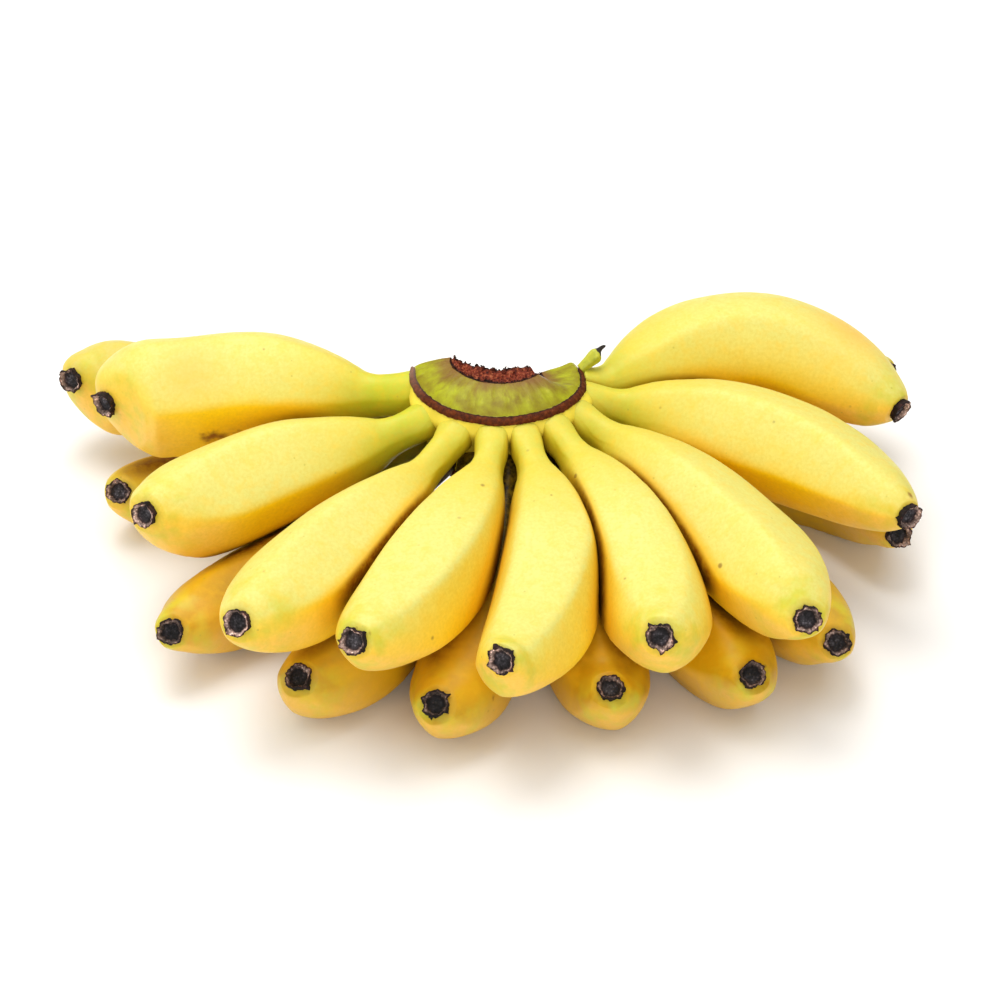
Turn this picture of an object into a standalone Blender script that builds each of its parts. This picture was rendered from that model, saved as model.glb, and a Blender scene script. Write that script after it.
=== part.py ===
"""A hand of berangan bananas, cut from its stalk and lying on its lower fingers.

Metres, +Z up. X runs to the right and -Y towards the viewer, as the hand lies in the photograph.
The origin is on the surface under the middle of the hand's box.
"""

import collections
import math

import bmesh
import bpy
import numpy as np

MM = 0.001

# The crown is half a thick ring round the stalk that it was cut from. Its middle is that stalk's axis.
CROWN_X = 5.76 * MM
CROWN_Y = 35.32 * MM
RING_RADIUS = 33 * MM
RING_HEIGHT = 72.5 * MM
CUT_RADIUS = 18 * MM
CUT_HEIGHT = 79.5 * MM
CROWN_FROM = -95  # degrees from the front, + to the right
CROWN_TO = 110
WALL_SLOPE = 0.08  # how much its outer wall draws in, per height below the ring
WALL_FOOT = 42 * MM

# The undeveloped finger stands on the ring at the crown's right end.
STUB_BEARING = 104
STUB_HEADING = 114
STUB_PITCH = 32
STUB_FOOT_RADIUS = 34.8 * MM
STUB_FOOT_HEIGHT = 73.8 * MM
STUB_LENGTH = 10 * MM
STUB_GIRTH = 4.6 * MM

# A finger: a stalk end, a five-sided body and a tip that ends in the dried flower's scar.
PEDICEL_RADIUS = 6.8 * MM
NECK_LENGTH = 12 * MM
SWELL_LENGTH = 58 * MM
SWELL_POWER = 0.62
TAPER_LENGTH = 43 * MM
TAPER_POWER = 2
SCAR_RADIUS = 5.4 * MM
SCAR_LENGTH = 2.6 * MM
RIDGES = 5
RIDGE_SHARE = 0.5  # 0 is a round section, 1 a flat-sided one
SIDES = 15
STATIONS = 17
GAP = 0.7 * MM
CROWN_GAP = 0.4 * MM
LEAVE = 0.25  # the first handle's length as a share of the span
HALFWAY = 0.55  # where along the curve it goes through the middle place

# The two rows: where on the crown's wall they start, and how steeply they leave it.
Row = collections.namedtuple("Row", "radius height leave_pitch")
UPPER = Row(33.6 * MM, 64 * MM, -14)
LOWER = Row(31.6 * MM, 50.5 * MM, -32)

# bearing: where it leaves the crown, in degrees from the front, + to the right. middle and tip: places that
# its middle line goes through, as degrees from the front, mm from the stalk's axis and mm over the surface.
# girth: the body's thickness in mm. roll: the turn of its ridges in degrees.
Finger = collections.namedtuple("Finger", "name row bearing middle tip girth roll")
FINGERS = [
    Finger("finger_upper_1", UPPER, -88, (-97, 92, 60), (-91, 146, 56), 42, -1),
    Finger("finger_upper_2", UPPER, -57, (-68, 86, 50), (-62, 140, 56), 41, -3),
    Finger("finger_upper_3", UPPER, -29, (-35, 98, 49), (-34, 151, 56), 39, 6),
    Finger("finger_upper_4", UPPER, -4, (-14, 90, 49), (-20, 143, 56), 39, 24),
    Finger("finger_upper_5", UPPER, 15, (12, 86, 48), (0, 146, 56), 39.5, 24),
    Finger("finger_upper_6", UPPER, 36, (31, 90, 48), (22, 143, 56), 38.5, 47),
    Finger("finger_upper_7", UPPER, 59, (49, 102, 49), (39, 160, 56), 38.5, 7),
    Finger("finger_upper_8", UPPER, 84, (81, 92, 55), (65, 157, 56), 39, 12),
    Finger("finger_upper_9", UPPER, 101, (111, 90, 64), (91, 150, 54), 40, 14),
    Finger("finger_lower_1", LOWER, -96, (-110, 118, 37), (-104, 170, 42), 37, -1),
    Finger("finger_lower_2", LOWER, -71, (-92, 98, 18), (-84, 142, 29), 36.5, -3),
    Finger("finger_lower_3", LOWER, -43, (-55, 98, 17.5), (-50, 147, 27), 34, 6),
    Finger("finger_lower_4", LOWER, -16, (-28, 90, 18), (-30, 134, 26), 36, 24),
    Finger("finger_lower_5", LOWER, 5, (-6, 86, 18), (-9, 131, 25), 36, 24),
    Finger("finger_lower_6", LOWER, 25, (20, 88, 18), (17, 127, 26), 36, 47),
    Finger("finger_lower_7", LOWER, 47, (41, 95, 18), (36, 144, 26), 36, 7),
    Finger("finger_lower_8", LOWER, 71, (60, 100, 18), (50, 151, 26), 35, 12),
    Finger("finger_lower_9", LOWER, 92, (97, 103, 18), (77, 150, 23), 36, 12),
    Finger("finger_lower_10", LOWER, 109, (120, 108, 32), (106, 160, 42), 35, 14),
]


def direction(bearing, pitch):
    """The unit vector at this bearing from the front, this far above the level."""
    b, p = math.radians(bearing), math.radians(pitch)
    return np.array([math.sin(b) * math.cos(p), -math.cos(b) * math.cos(p), math.sin(p)])


def around_crown(bearing, radius, height):
    place = direction(bearing, 0) * radius
    return place + [CROWN_X, CROWN_Y, height]


def centreline(finger, count):
    """Points along the finger's middle, and their distances from its root."""
    row = finger.row
    root = around_crown(finger.bearing, row.radius, row.height)
    middle = around_crown(finger.middle[0], finger.middle[1] * MM, finger.middle[2] * MM)
    tip = around_crown(finger.tip[0], finger.tip[1] * MM, finger.tip[2] * MM)
    span = np.linalg.norm(tip - root)
    leave = root + direction(finger.bearing, row.leave_pitch) * span * LEAVE
    # The second handle is the one that makes the curve go through the middle place.
    h = HALFWAY
    arrive = middle - (1 - h) ** 3 * root - 3 * h * (1 - h) ** 2 * leave - h**3 * tip
    arrive /= 3 * h**2 * (1 - h)
    t = np.linspace(0, 1, 200)[:, None]
    bezier = (1 - t) ** 3 * root + 3 * t * (1 - t) ** 2 * leave + 3 * t**2 * (1 - t) * arrive + t**3 * tip
    run = np.concatenate([[0], np.cumsum(np.linalg.norm(np.diff(bezier, axis=0), axis=1))])
    # The stations crowd towards both ends, where the radius changes most.
    share = (1 - np.cos(np.linspace(0, math.pi, count))) / 2
    share = 0.45 * share + 0.55 * np.linspace(0, 1, count)
    at = share * run[-1]
    # The last stretch is the scar, so one station sits on its foot.
    at[-2] = run[-1] - SCAR_LENGTH
    at[-3] = run[-1] - SCAR_LENGTH * 1.7
    points = np.stack([np.interp(at, run, bezier[:, k]) for k in range(3)], axis=1)
    return points, at


def radii(finger, at):
    """The body's radius at each distance from the root."""
    belly = finger.girth * MM / 2
    rise = np.clip((at - NECK_LENGTH) / SWELL_LENGTH, 0, 1)
    body = PEDICEL_RADIUS + (belly - PEDICEL_RADIUS) * rise**SWELL_POWER
    left = at[-1] - at
    taper = np.clip(left / TAPER_LENGTH, 0, 1)
    taper = (1 - (1 - taper) ** TAPER_POWER) ** (1 / TAPER_POWER)
    body = np.maximum(body * taper, SCAR_RADIUS * 1.12)
    body[left < SCAR_LENGTH * 1.05] = SCAR_RADIUS
    return body


def section(angle):
    """How far the skin lies from the middle at this angle from the top, as a share of the radius."""
    face = 2 * math.pi / RIDGES
    flat = np.cos(face / 2) / np.cos(angle % face - face / 2) * 1.09
    return 1 + RIDGE_SHARE * (flat - 1)


def frames(points):
    """Two unit vectors square to the line at each point: one level, one upwards."""
    along = np.gradient(points, axis=0)
    along /= np.linalg.norm(along, axis=1)[:, None]
    side = np.cross(along, [0, 0, 1])
    side /= np.linalg.norm(side, axis=1)[:, None]
    return side, np.cross(side, along)


def skin(finger):
    """The free finger's rings: their middles, the directions of their points, and how far out these lie."""
    points, at = centreline(finger, STATIONS)
    size = radii(finger, at)
    side, up = frames(points)
    angle = np.arange(SIDES) * 2 * math.pi / SIDES
    out = np.cos(angle)[None, :, None] * up[:, None] + np.sin(angle)[None, :, None] * side[:, None]
    far = size[:, None] * section(angle - math.radians(finger.roll))[None, :]
    return points, size, out, far


def depth(places, points, size):
    """How far each place lies outside a round finger of this middle line and size."""
    away = np.linalg.norm(places[..., None, :] - points, axis=-1) - size
    return away.min(axis=-1)


def pressed(finger, free):
    """The finger's rings where its neighbours have flattened it: no point is nearer to another finger's
    surface than to its own, and half the gap is kept to that middle."""
    points, size, out, far = free[finger.name]
    low, high = np.zeros_like(far), far.copy()
    others = [dense(f) for f in FINGERS if f is not finger]
    others = [o for o in others if near(o, (points, size))]

    def clear(reach):
        places = points[:, None] + out * reach[..., None]
        own = reach - size[:, None]
        return np.all([depth(places, *o) - own >= GAP for o in others], axis=0)

    inside = clear(high)
    for _ in range(14):
        middle = (low + high) / 2
        fits = clear(middle)
        low = np.where(fits, middle, low)
        high = np.where(fits, high, middle)
    return points[:, None] + out * np.where(inside, far, low)[..., None]


def dense(finger):
    points, at = centreline(finger, 60)
    return points, radii(finger, at)


def near(a, b):
    gaps = np.linalg.norm(a[0][:, None] - b[0][None], axis=-1) - a[1][:, None] - b[1][None]
    return gaps.min() < 4 * MM


def loft(name, rings, material, collection):
    """One closed body through rings of points, with a flat face at each end."""
    mesh = bmesh.new()
    loops = [[mesh.verts.new(p) for p in ring] for ring in rings]
    for a, b in zip(loops, loops[1:]):
        for i in range(len(a)):
            j = (i + 1) % len(a)
            mesh.faces.new((a[i], b[i], b[j], a[j]))
    mesh.faces.new(loops[0])
    mesh.faces.new(reversed(loops[-1]))
    bmesh.ops.recalc_face_normals(mesh, faces=mesh.faces)
    data = bpy.data.meshes.new(name)
    mesh.to_mesh(data)
    mesh.free()
    data.materials.append(material)
    data.shade_smooth()
    body = bpy.data.objects.new(name, data)
    collection.objects.link(body)
    return body


def stub(material, collection):
    """The undeveloped finger: a short bud that narrows to its dried tip."""
    foot = around_crown(STUB_BEARING, STUB_FOOT_RADIUS, STUB_FOOT_HEIGHT)
    along = direction(STUB_HEADING, STUB_PITCH)
    curve = bpy.data.curves.new("undeveloped_finger", "CURVE")
    curve.dimensions = "3D"
    curve.bevel_depth = STUB_GIRTH / 2
    curve.bevel_resolution = 2
    curve.use_fill_caps = True
    stretch = ((0, 1), (0.3, 1.12), (0.62, 0.95), (0.8, 0.6), (1, 0.3))  # share of the length, share of the girth
    line = curve.splines.new("POLY")
    line.points.add(len(stretch) - 1)
    for point, (share, thickness) in zip(line.points, stretch):
        point.co = (*(foot + along * STUB_LENGTH * share), 1)
        point.radius = thickness
    curve.materials.append(material)
    collection.objects.link(bpy.data.objects.new("undeveloped_finger", curve))


def wall(height):
    """The radius of the crown's outer wall at this height."""
    return RING_RADIUS - (RING_HEIGHT - height) * WALL_SLOPE


def crown_rings():
    """The crown's section at each bearing, from one end to the other."""
    rings = []
    for bearing in np.linspace(CROWN_FROM, CROWN_TO, 29):
        inner = CUT_RADIUS - 12 * MM * max(0.15, math.cos(math.radians(bearing) * 0.9))
        # The knife left the right end lower than the rest.
        low = min(1, max(0, (bearing - 55) / 25)) * 5 * MM
        profile = [
            (RING_RADIUS, RING_HEIGHT),
            (RING_RADIUS - 6 * MM, RING_HEIGHT + 3.6 * MM - low * 0.4),
            (CUT_RADIUS + 3 * MM, CUT_HEIGHT - 0.8 * MM - low * 0.9),
            (CUT_RADIUS, CUT_HEIGHT - low),
            (inner, CUT_HEIGHT - 2.5 * MM - low),
            (inner + 0.5 * MM, 58 * MM),
            (inner + 4 * MM, WALL_FOOT + 2 * MM),
            (wall(WALL_FOOT) - 7 * MM, WALL_FOOT - 3 * MM),
            (wall(WALL_FOOT), WALL_FOOT),
            (wall(56 * MM), 56 * MM),
            (wall(68 * MM), 68 * MM),
        ]
        rings.append([around_crown(bearing, r, z) for r, z in profile])
    return rings


def clear_of_crown(rings):
    """Moves the points that would lie in the crown out to its wall, a small gap away."""
    away = rings - [CROWN_X, CROWN_Y, 0]
    away[..., 2] = 0
    distance = np.linalg.norm(away, axis=-1)
    least = wall(rings[..., 2]) + CROWN_GAP
    share = np.maximum(least / distance, 1)
    return rings + away * (share - 1)[..., None]


def plain_material(name, colour, roughness):
    material = bpy.data.materials.new(name)
    material.use_nodes = True
    shader = material.node_tree.nodes["Principled BSDF"]
    shader.inputs["Base Color"].default_value = (*colour, 1)
    shader.inputs["Roughness"].default_value = roughness
    shader.inputs["Metallic"].default_value = 0
    return material


def build():
    for old in list(bpy.data.objects):
        bpy.data.objects.remove(old)
    hand = bpy.data.collections.new("banana_hand")
    bpy.context.scene.collection.children.link(hand)
    peel = plain_material("ripe_peel", (0.93, 0.72, 0.08), 0.42)
    rind = plain_material("green_crown", (0.45, 0.47, 0.09), 0.5)
    loft("crown", crown_rings(), rind, hand)
    stub(rind, hand)
    free = {finger.name: skin(finger) for finger in FINGERS}
    for finger in FINGERS:
        rings = clear_of_crown(pressed(finger, free))
        rings[..., 2] = np.maximum(rings[..., 2], 0)
        loft(finger.name, rings, peel, hand)


build()
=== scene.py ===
"""Looks for a hand of berangan bananas that lies on its lower fingers. Metres, in the part's own frame."""

import collections
import math

import bmesh
import bpy
import numpy as np
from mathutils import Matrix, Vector, noise


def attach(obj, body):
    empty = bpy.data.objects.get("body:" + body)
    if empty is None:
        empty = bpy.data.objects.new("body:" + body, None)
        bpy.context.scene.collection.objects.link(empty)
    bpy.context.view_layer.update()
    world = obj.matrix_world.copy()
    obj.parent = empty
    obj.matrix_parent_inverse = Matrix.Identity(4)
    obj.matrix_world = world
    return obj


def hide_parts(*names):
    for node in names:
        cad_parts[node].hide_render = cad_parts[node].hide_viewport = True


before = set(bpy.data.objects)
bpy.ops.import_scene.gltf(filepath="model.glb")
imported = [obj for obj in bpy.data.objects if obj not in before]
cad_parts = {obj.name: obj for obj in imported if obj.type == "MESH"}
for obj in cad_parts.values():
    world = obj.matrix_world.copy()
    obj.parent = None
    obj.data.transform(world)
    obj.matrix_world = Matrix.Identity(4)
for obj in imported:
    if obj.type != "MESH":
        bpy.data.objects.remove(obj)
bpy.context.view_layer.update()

MM = 0.001
scene = bpy.context.scene


# Camera. The photograph looks down on the hand from its tips' side, with a long lens.
CAMERA_HEIGHT_ANGLE = 36  # degrees above the level
CAMERA_DISTANCE = 0.865
CAMERA_TARGET = (0.00576, 0.00932, 0.0337)

lens = bpy.data.cameras.new("camera")
lens.lens = 85
lens.sensor_width = 36
camera = bpy.data.objects.new("camera", lens)
scene.collection.objects.link(camera)
tilt = math.radians(CAMERA_HEIGHT_ANGLE)
back = Vector((0, -math.cos(tilt), math.sin(tilt)))
camera.location = Vector(CAMERA_TARGET) + back * CAMERA_DISTANCE
camera.rotation_euler = (-back).to_track_quat("-Z", "Y").to_euler()
scene.camera = camera


# Surface and light. The hand lies on white card in a white room, under a wide canopy of cloth. A soft box
# over its left half lights the peel, and two weak ones, in front and on the left, fill the shadows.
FLOOR_SIZE = 5.0
ROOM_STRENGTH = 0.40
LIGHTS_AIM = Vector((0, 0, 0.04))
scene.view_settings.view_transform = "Standard"
scene.view_settings.look = "None"


def linear(code):
    """An sRGB colour such as #F4DE4A, as the linear colour that Blender takes."""
    parts = [int(code[i:i + 2], 16) / 255 for i in (1, 3, 5)]
    return (*[c / 12.92 if c <= 0.04045 else ((c + 0.055) / 1.055) ** 2.4 for c in parts], 1)


def feed(tree, made, feeds):
    """Gives a node's sockets, by name or in their order, a value or what feeds them."""
    shown = [socket for socket in made.inputs if socket.enabled]
    for key, value in feeds.items() if isinstance(feeds, dict) else enumerate(feeds):
        socket = shown[key] if isinstance(key, int) else next(s for s in shown if s.name == key)
        if isinstance(value, bpy.types.Node):
            value = next(s for s in value.outputs if s.enabled)
        if isinstance(value, bpy.types.NodeSocket):
            tree.links.new(value, socket)
        else:
            socket.default_value = value


def node(tree, kind, feeds=(), **settings):
    """Adds a node with these settings, and feeds its sockets."""
    made = tree.nodes.new(kind)
    for name, value in settings.items():
        setattr(made, name, value)
    feed(tree, made, feeds)
    return made


def calc(tree, operation, *values, **settings):
    """Adds a sum of this kind."""
    return node(tree, "ShaderNodeMath", values, operation=operation, **settings)


def remap(tree, value, start, full, least=0, most=1, **settings):
    """Turns what runs from start to full into what runs from least to most."""
    return node(tree, "ShaderNodeMapRange", (value, start, full, least, most), **settings)


def soft_remap(tree, *values, **limits):
    """The same, with a soft start and end."""
    return remap(tree, *values, interpolation_type="SMOOTHSTEP", **limits)


def blend(tree, factor, one, other, data_type="RGBA", **settings):
    """Mixes two colours, or two of another kind."""
    return node(tree, "ShaderNodeMix", (factor, one, other), data_type=data_type, **settings)


def new_material(name):
    """A material of this name, its tree and its shader."""
    made = bpy.data.materials.new(name)
    made.use_nodes = True
    return made, made.node_tree, made.node_tree.nodes["Principled BSDF"]


def mesh_piece(name, points, faces, materials):
    """A piece of these points and faces, smooth, with its place in its mesh."""
    mesh = bpy.data.meshes.new(name)
    mesh.from_pydata([tuple(p) for p in points], [], [tuple(f) for f in faces])
    for material in materials:
        mesh.materials.append(material)
    mesh.shade_smooth()
    piece = bpy.data.objects.new(name, mesh)
    scene.collection.objects.link(piece)
    return piece


card, t, paint = new_material("white_card_matt")
feed(t, paint, {"Base Color": linear("#EEEEEE"), "Roughness": 0.9, "Specular IOR Level": 0.1})
half = FLOOR_SIZE / 2
corners = [(-half, -half, 0), (half, -half, 0), (half, half, 0), (-half, half, 0)]
floor = mesh_piece("floor", corners, [(0, 1, 2, 3)], [card])

room = bpy.data.worlds.new("white_room")
room.use_nodes = True
feed(room.node_tree, room.node_tree.nodes["Background"], {"Color": (1, 1, 1, 1), "Strength": ROOM_STRENGTH})
scene.world = room


def soft_box(name, place, size, power, colour):
    """A square light that looks at the hand."""
    data = bpy.data.lights.new(name, "AREA")
    data.shape = "SQUARE"
    data.size = size
    data.energy = power
    data.color = linear(colour)[:3]
    lamp = bpy.data.objects.new(name, data)
    lamp.location = place
    lamp.rotation_euler = (LIGHTS_AIM - Vector(place)).to_track_quat("-Z", "Y").to_euler()
    scene.collection.objects.link(lamp)


soft_box("canopy", (0, 0.30, 1.60), 2.6, 27.5, "#FFFFFF")
soft_box("overhead_box", (-0.16, 0.20, 1.10), 0.6, 5.8, "#FFFDF8")
soft_box("front_fill", (0.20, -1.15, 0.50), 0.9, 5.4, "#FFFDF8")
soft_box("left_fill", (-1.00, -0.10, 0.40), 0.7, 3.0, "#FFFDF8")


# Fingers. Each is one ripe fruit on its stalk end: a five-sided, slightly bowed body, pressed flat where it
# grew against the next ones, that ends in the corky scar of its dried flower. All grow from the crown.
CROWN_X = 5.76 * MM
CROWN_Y = 35.32 * MM
RIDGES = 5
GIRTH_SCALE = 1.02  # its ridges stand a little further out than the listed girth
HALFWAY = 0.55  # where on its line a finger's middle is, from root to tip
LEAVE = 0.25  # how far it holds the way that it leaves the crown, as a share of its reach
CONTACT = 0.12 * MM  # what stays open between two fingers that touch
# Painted shade: the skin darkens where another finger lies near it, in place of the shade between them.
PAINTED_SHADE_REACH = 7 * MM  # how near a neighbour has to be for the skin to turn darker
ROUNDING = 1.3 * MM  # how softly a finger's skin turns in where it touches another
Row = collections.namedtuple("Row", "radius height leave_pitch")
UPPER = Row(33.6 * MM, 64 * MM, -14)
LOWER = Row(31.6 * MM, 50.5 * MM, -32)
# bearing, middle, tip, girth and roll start from the solids', and some places are moved by a few mm. green:
# how green its neck is, from 0 to 1. tone: how much painted shade it takes for lying under the upper row,
# which deepens its yellow and darkens its neck and scar, from 0 to 1. sway: how far its last third hangs away
# from its line, in mm. nod: which way its scar turns, as a slope.
STILL = (0, 0, 0)
FIELDS = "name row bearing middle tip girth roll green tone sway nod"
Finger = collections.namedtuple("Finger", FIELDS, defaults=(STILL, STILL))
FINGERS = [
    Finger("upper_1", UPPER, -88, (-97, 92, 58.9), (-89.4, 146.8, 58.9), 44, -1, 1, 0,
           (-1.5, -4.2, -2), (0, -0.5, 0)),
    Finger("upper_2", UPPER, -57, (-68, 86, 50), (-62, 140.8, 56), 41, -3, 1, 0,
           (0, -1.8, -2.5), (0, -0.2, 0)),
    Finger("upper_3", UPPER, -29, (-35, 98, 49), (-34.7, 152.1, 56), 39, 6, 0.55, 0, (1, 0, 0.3)),
    Finger("upper_4", UPPER, -4, (-14, 90, 49), (-19.7, 143.2, 56), 39, 32, 0.4, 0, (-0.3, 0, -0.8)),
    Finger("upper_5", UPPER, 15, (12, 86, 48), (-0.1, 144.9, 56), 39.5, 34, 0.35, 0, (-2.6, -1.5, -5)),
    Finger("upper_6", UPPER, 36, (31, 90, 48), (21.3, 142.6, 56), 38.5, 43, 0.4, 0, (0.8, 0, -3.2)),
    Finger("upper_7", UPPER, 59, (49, 102, 49), (39.1, 159.8, 56), 38.5, 7, 0.45, 0, (-0.5, 0, 2)),
    Finger("upper_8", UPPER, 84, (81, 92, 53.5), (64.7, 158, 56), 39, 12, 0.6, 0, (0, 0, -0.8)),
    Finger("upper_9", UPPER, 101, (111, 90, 62.5), (90.9, 149.6, 53), 40, 24, 0.6, 0, (0, 0, -1.8)),
    Finger("lower_1", LOWER, -96, (-111.9, 119.5, 34), (-105, 173.9, 39), 37, -1, 0.8, 0.25,
           (-1, 0, -5.5), (0, -0.1, 0)),
    Finger("lower_2", LOWER, -71, (-92, 98, 18), (-86.2, 143.6, 25.4), 36.5, -3, 0.8, 0.25,
           (2.6, -0.8, 0.4), (0, -0.25, 0.1)),
    Finger("lower_3", LOWER, -43, (-57, 95, 19), (-50.4, 147.7, 27), 34, 6, 0.6, 0.95, (3.8, 0.5, 1.5)),
    Finger("lower_4", LOWER, -16, (-28, 90, 18), (-30.5, 135, 26), 36, 24, 0.6, 0.8),
    Finger("lower_5", LOWER, 5, (-6, 86, 18), (-9.5, 130.9, 25), 36, 24, 0.6, 0.9, (2, 0, 1)),
    Finger("lower_6", LOWER, 25, (20, 88, 18), (17, 127, 26), 36, 47, 0.6, 0.95, (0.8, 0, 0)),
    Finger("lower_7", LOWER, 47, (41, 95, 18), (36.6, 143.7, 26), 36, 7, 0.6, 1, (1.5, 1, 1.5)),
    Finger("lower_8", LOWER, 71, (60, 100, 18), (49.7, 152.2, 26), 35, 12, 0.6, 0.85, (-1.2, 1.5, 3)),
    Finger("lower_9", LOWER, 92, (99.5, 103, 18.5), (76.8, 150.4, 23), 36, 12, 0.7, 0.75, (-1.5, 1, 2.5)),
    Finger("lower_10", LOWER, 109, (120, 108, 32), (107, 158.8, 41), 35, 14, 0.8, 0.3, (0, -1, -4)),
]

# Where a neck, a swelling, a tapering end or a neck's radius differs from the usual 13, 58, 43 and 6.4 mm.
NECKS = {"upper_9": 7, "upper_1": 15, "upper_8": 11, "upper_3": 20}
SWELLS = {"upper_9": 50, "upper_8": 54}
TAPERS = {
    "upper_1": 24, "lower_1": 24, "upper_3": 47, "upper_4": 56, "upper_5": 72, "upper_6": 47, "upper_7": 50,
    "upper_8": 82, "upper_9": 62, "lower_3": 52, "lower_8": 48, "lower_9": 66}
# How far before its tip a blunt finger would have closed, which makes its end a dome.
DOMES = {"upper_1": 2.6, "lower_1": 2.5}
NECK_RADII = {"upper_1": 7.5, "upper_2": 6.5, "upper_3": 6.0, "upper_8": 7.0, "upper_9": 7.2}
# How marked the ridges of the rounder fingers are; the others have 0.85.
RIDGE_SHARES = {"upper_1": 0.6, "upper_6": 0.6, "upper_7": 0.7, "upper_8": 0.75, "upper_9": 0.45}
# Of two fingers that touch, how far the first pushes into the second past half-way.
PUSHES = {("upper_1", "lower_2"): 2.4 * MM}
# How much lower than its row a finger leaves the crown, whose right end droops.
DROPS = {"upper_2": 1.3, "upper_7": 1, "upper_8": 2.8, "upper_9": 3.2}


def direction(bearing, pitch):
    """The unit vector at this bearing from the front, this far above the level."""
    b, p = math.radians(bearing), math.radians(pitch)
    return np.array([math.sin(b) * math.cos(p), -math.cos(b) * math.cos(p), math.sin(p)])


def around_crown(bearing, radius, height):
    return direction(bearing, 0) * radius + [CROWN_X, CROWN_Y, height]


def handles(finger):
    """The four points of the finger's middle line, as a Bezier curve."""
    row = finger.row
    root = around_crown(finger.bearing, row.radius, row.height - DROPS.get(finger.name, 0) * MM)
    middle = around_crown(finger.middle[0], finger.middle[1] * MM, finger.middle[2] * MM)
    tip = around_crown(finger.tip[0], finger.tip[1] * MM, finger.tip[2] * MM)
    leave = root + direction(finger.bearing, row.leave_pitch) * np.linalg.norm(tip - root) * LEAVE
    h = HALFWAY
    arrive = middle - (1 - h) ** 3 * root - 3 * h * (1 - h) ** 2 * leave - h**3 * tip
    return root, leave, arrive / (3 * h**2 * (1 - h)), tip


# The peel: a waxy skin, ripe lemon yellow, with painted shade that turns it gold where it faces sideways or
# down, still green by the crown and faintly so round the scar. It scatters light within its outer millimetre,
# and small pores and old rub marks break its sheen.
peel, t, skin = new_material("ripe_peel_waxy_skin")
place = node(t, "ShaderNodeTexCoord").outputs["Object"]
marked = ("from_crown", "to_scar", "belly", "up_facing_for_painted_shade", "painted_shade_near_neighbours", "green", "tone", "bruise", "blush")
from_crown, to_scar, belly, up_facing_for_painted_shade, painted_shade_near_neighbours, green, tone, bruise, blush = [
    node(t, "ShaderNodeAttribute", attribute_name=name).outputs["Fac"] for name in marked]
# Clouds 25 mm apart, patches 9 mm, mottling 4 mm and 1.2 mm, and grain 0.7 mm: size, detail, roughness.
clouds, patches, mottle, fine, grain = [
    node(t, "ShaderNodeTexNoise", {
        "Vector": place, "Scale": 1000 / size, "Detail": detail, "Roughness": rough})
    for size, detail, rough in ((25, 3, 0.5), (9, 3, 0.5), (4, 4, 0.5), (1.2, 3, 0.6), (0.7, 2, 0.5))]
# Painted shade: the skin turns from lemon to gold as it faces away from up, and clouds 25 mm apart shift it
# at random.
painted_gold_shade = remap(t, up_facing_for_painted_shade, 0.72, 0.08, most=1.0)
painted_gold_shade = calc(t, "MULTIPLY_ADD", clouds, 0.4, painted_gold_shade)
painted_gold_shade = calc(t, "SUBTRACT", painted_gold_shade, 0.2, use_clamp=True)
# Green fades out over the first 50 mm, further along the belly than along the back.
reach = calc(t, "MULTIPLY_ADD", belly, 12, 42)
harm = calc(t, "ADD", mottle, bruise)
# Soft fades: what drives each, where it starts and is full, and how strong it gets.
young, unripe, peach, end, painted_shade_gold, past_neck, brown, painted_neck_shade, harm = [
    soft_remap(t, value, start, full, most=most)
    for value, start, full, most in (
        (from_crown, 62, 22, 0.6), (from_crown, reach, 10, 1), (to_scar, 44, 12, 0.75), (to_scar, 22, 3, 0.8),
        (painted_shade_near_neighbours, 0, 0.9, 0.6), (from_crown, 22, 48, 1), (painted_shade_near_neighbours, 0.66, 1.06, 0.95), (from_crown, 48, 26, 1),
        (harm, 0.85, 1.35, 0.9))]
# Plain fades: what drives each, where it starts and is full, and how strong it is at both.
cloudy, under, patchy, fine, flecked, gloss = [
    remap(t, value, start, full, least, most)
    for value, start, full, least, most in (
        (clouds, 0.3, 0.7, 0.65, 1.1), (up_facing_for_painted_shade, 0.45, -0.1, 0, 1), (patches, 0.42, 0.66, 0, 1),
        (fine, 0.35, 0.7, 0, 0.28), (mottle, 0.45, 0.75, 0, 0.3), (mottle, 0.3, 0.7, 0.36, 0.5))]
fused = calc(t, "MULTIPLY_ADD", past_neck, 0.6, 0.4)
# Painted shade on the lower row's necks, deep under the others, near black by the crown.
lower_row_painted_shade = calc(t, "MULTIPLY", tone, 1.3, use_clamp=True)
unripe = calc(t, "MULTIPLY", unripe, green)
unripe, peach, end, painted_shade_gold, brown, painted_neck_shade, blush = [
    calc(t, "MULTIPLY", one, other, use_clamp=True)
    for one, other in (
        (unripe, cloudy), (peach, under), (end, patchy), (painted_shade_gold, past_neck), (brown, fused), (painted_neck_shade, lower_row_painted_shade),
        (blush, 0.6))]
# The layers, from the bottom up. Painted shade deepens the yellow of the lower row, under the upper one. The
# necks are a little deeper in colour. Under its end the skin is paler and pinker. Where two fingers lie
# against each other, painted shade turns the skin deep gold, then brown. The lower necks, deep under the
# others, are dull and darkened by painted shade.
layers = [
    (tone, "#B6880A"), (young, "#D2BE34"), (unripe, "#B4BC2A"), (peach, "#EEBE5C"), (end, "#C2C038"),
    (painted_shade_gold, "#F0B406"), (brown, "#6E3206"), (painted_neck_shade, "#180802"), (fine, "#CAA81E"), (flecked, "#EEBC20")]
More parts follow.
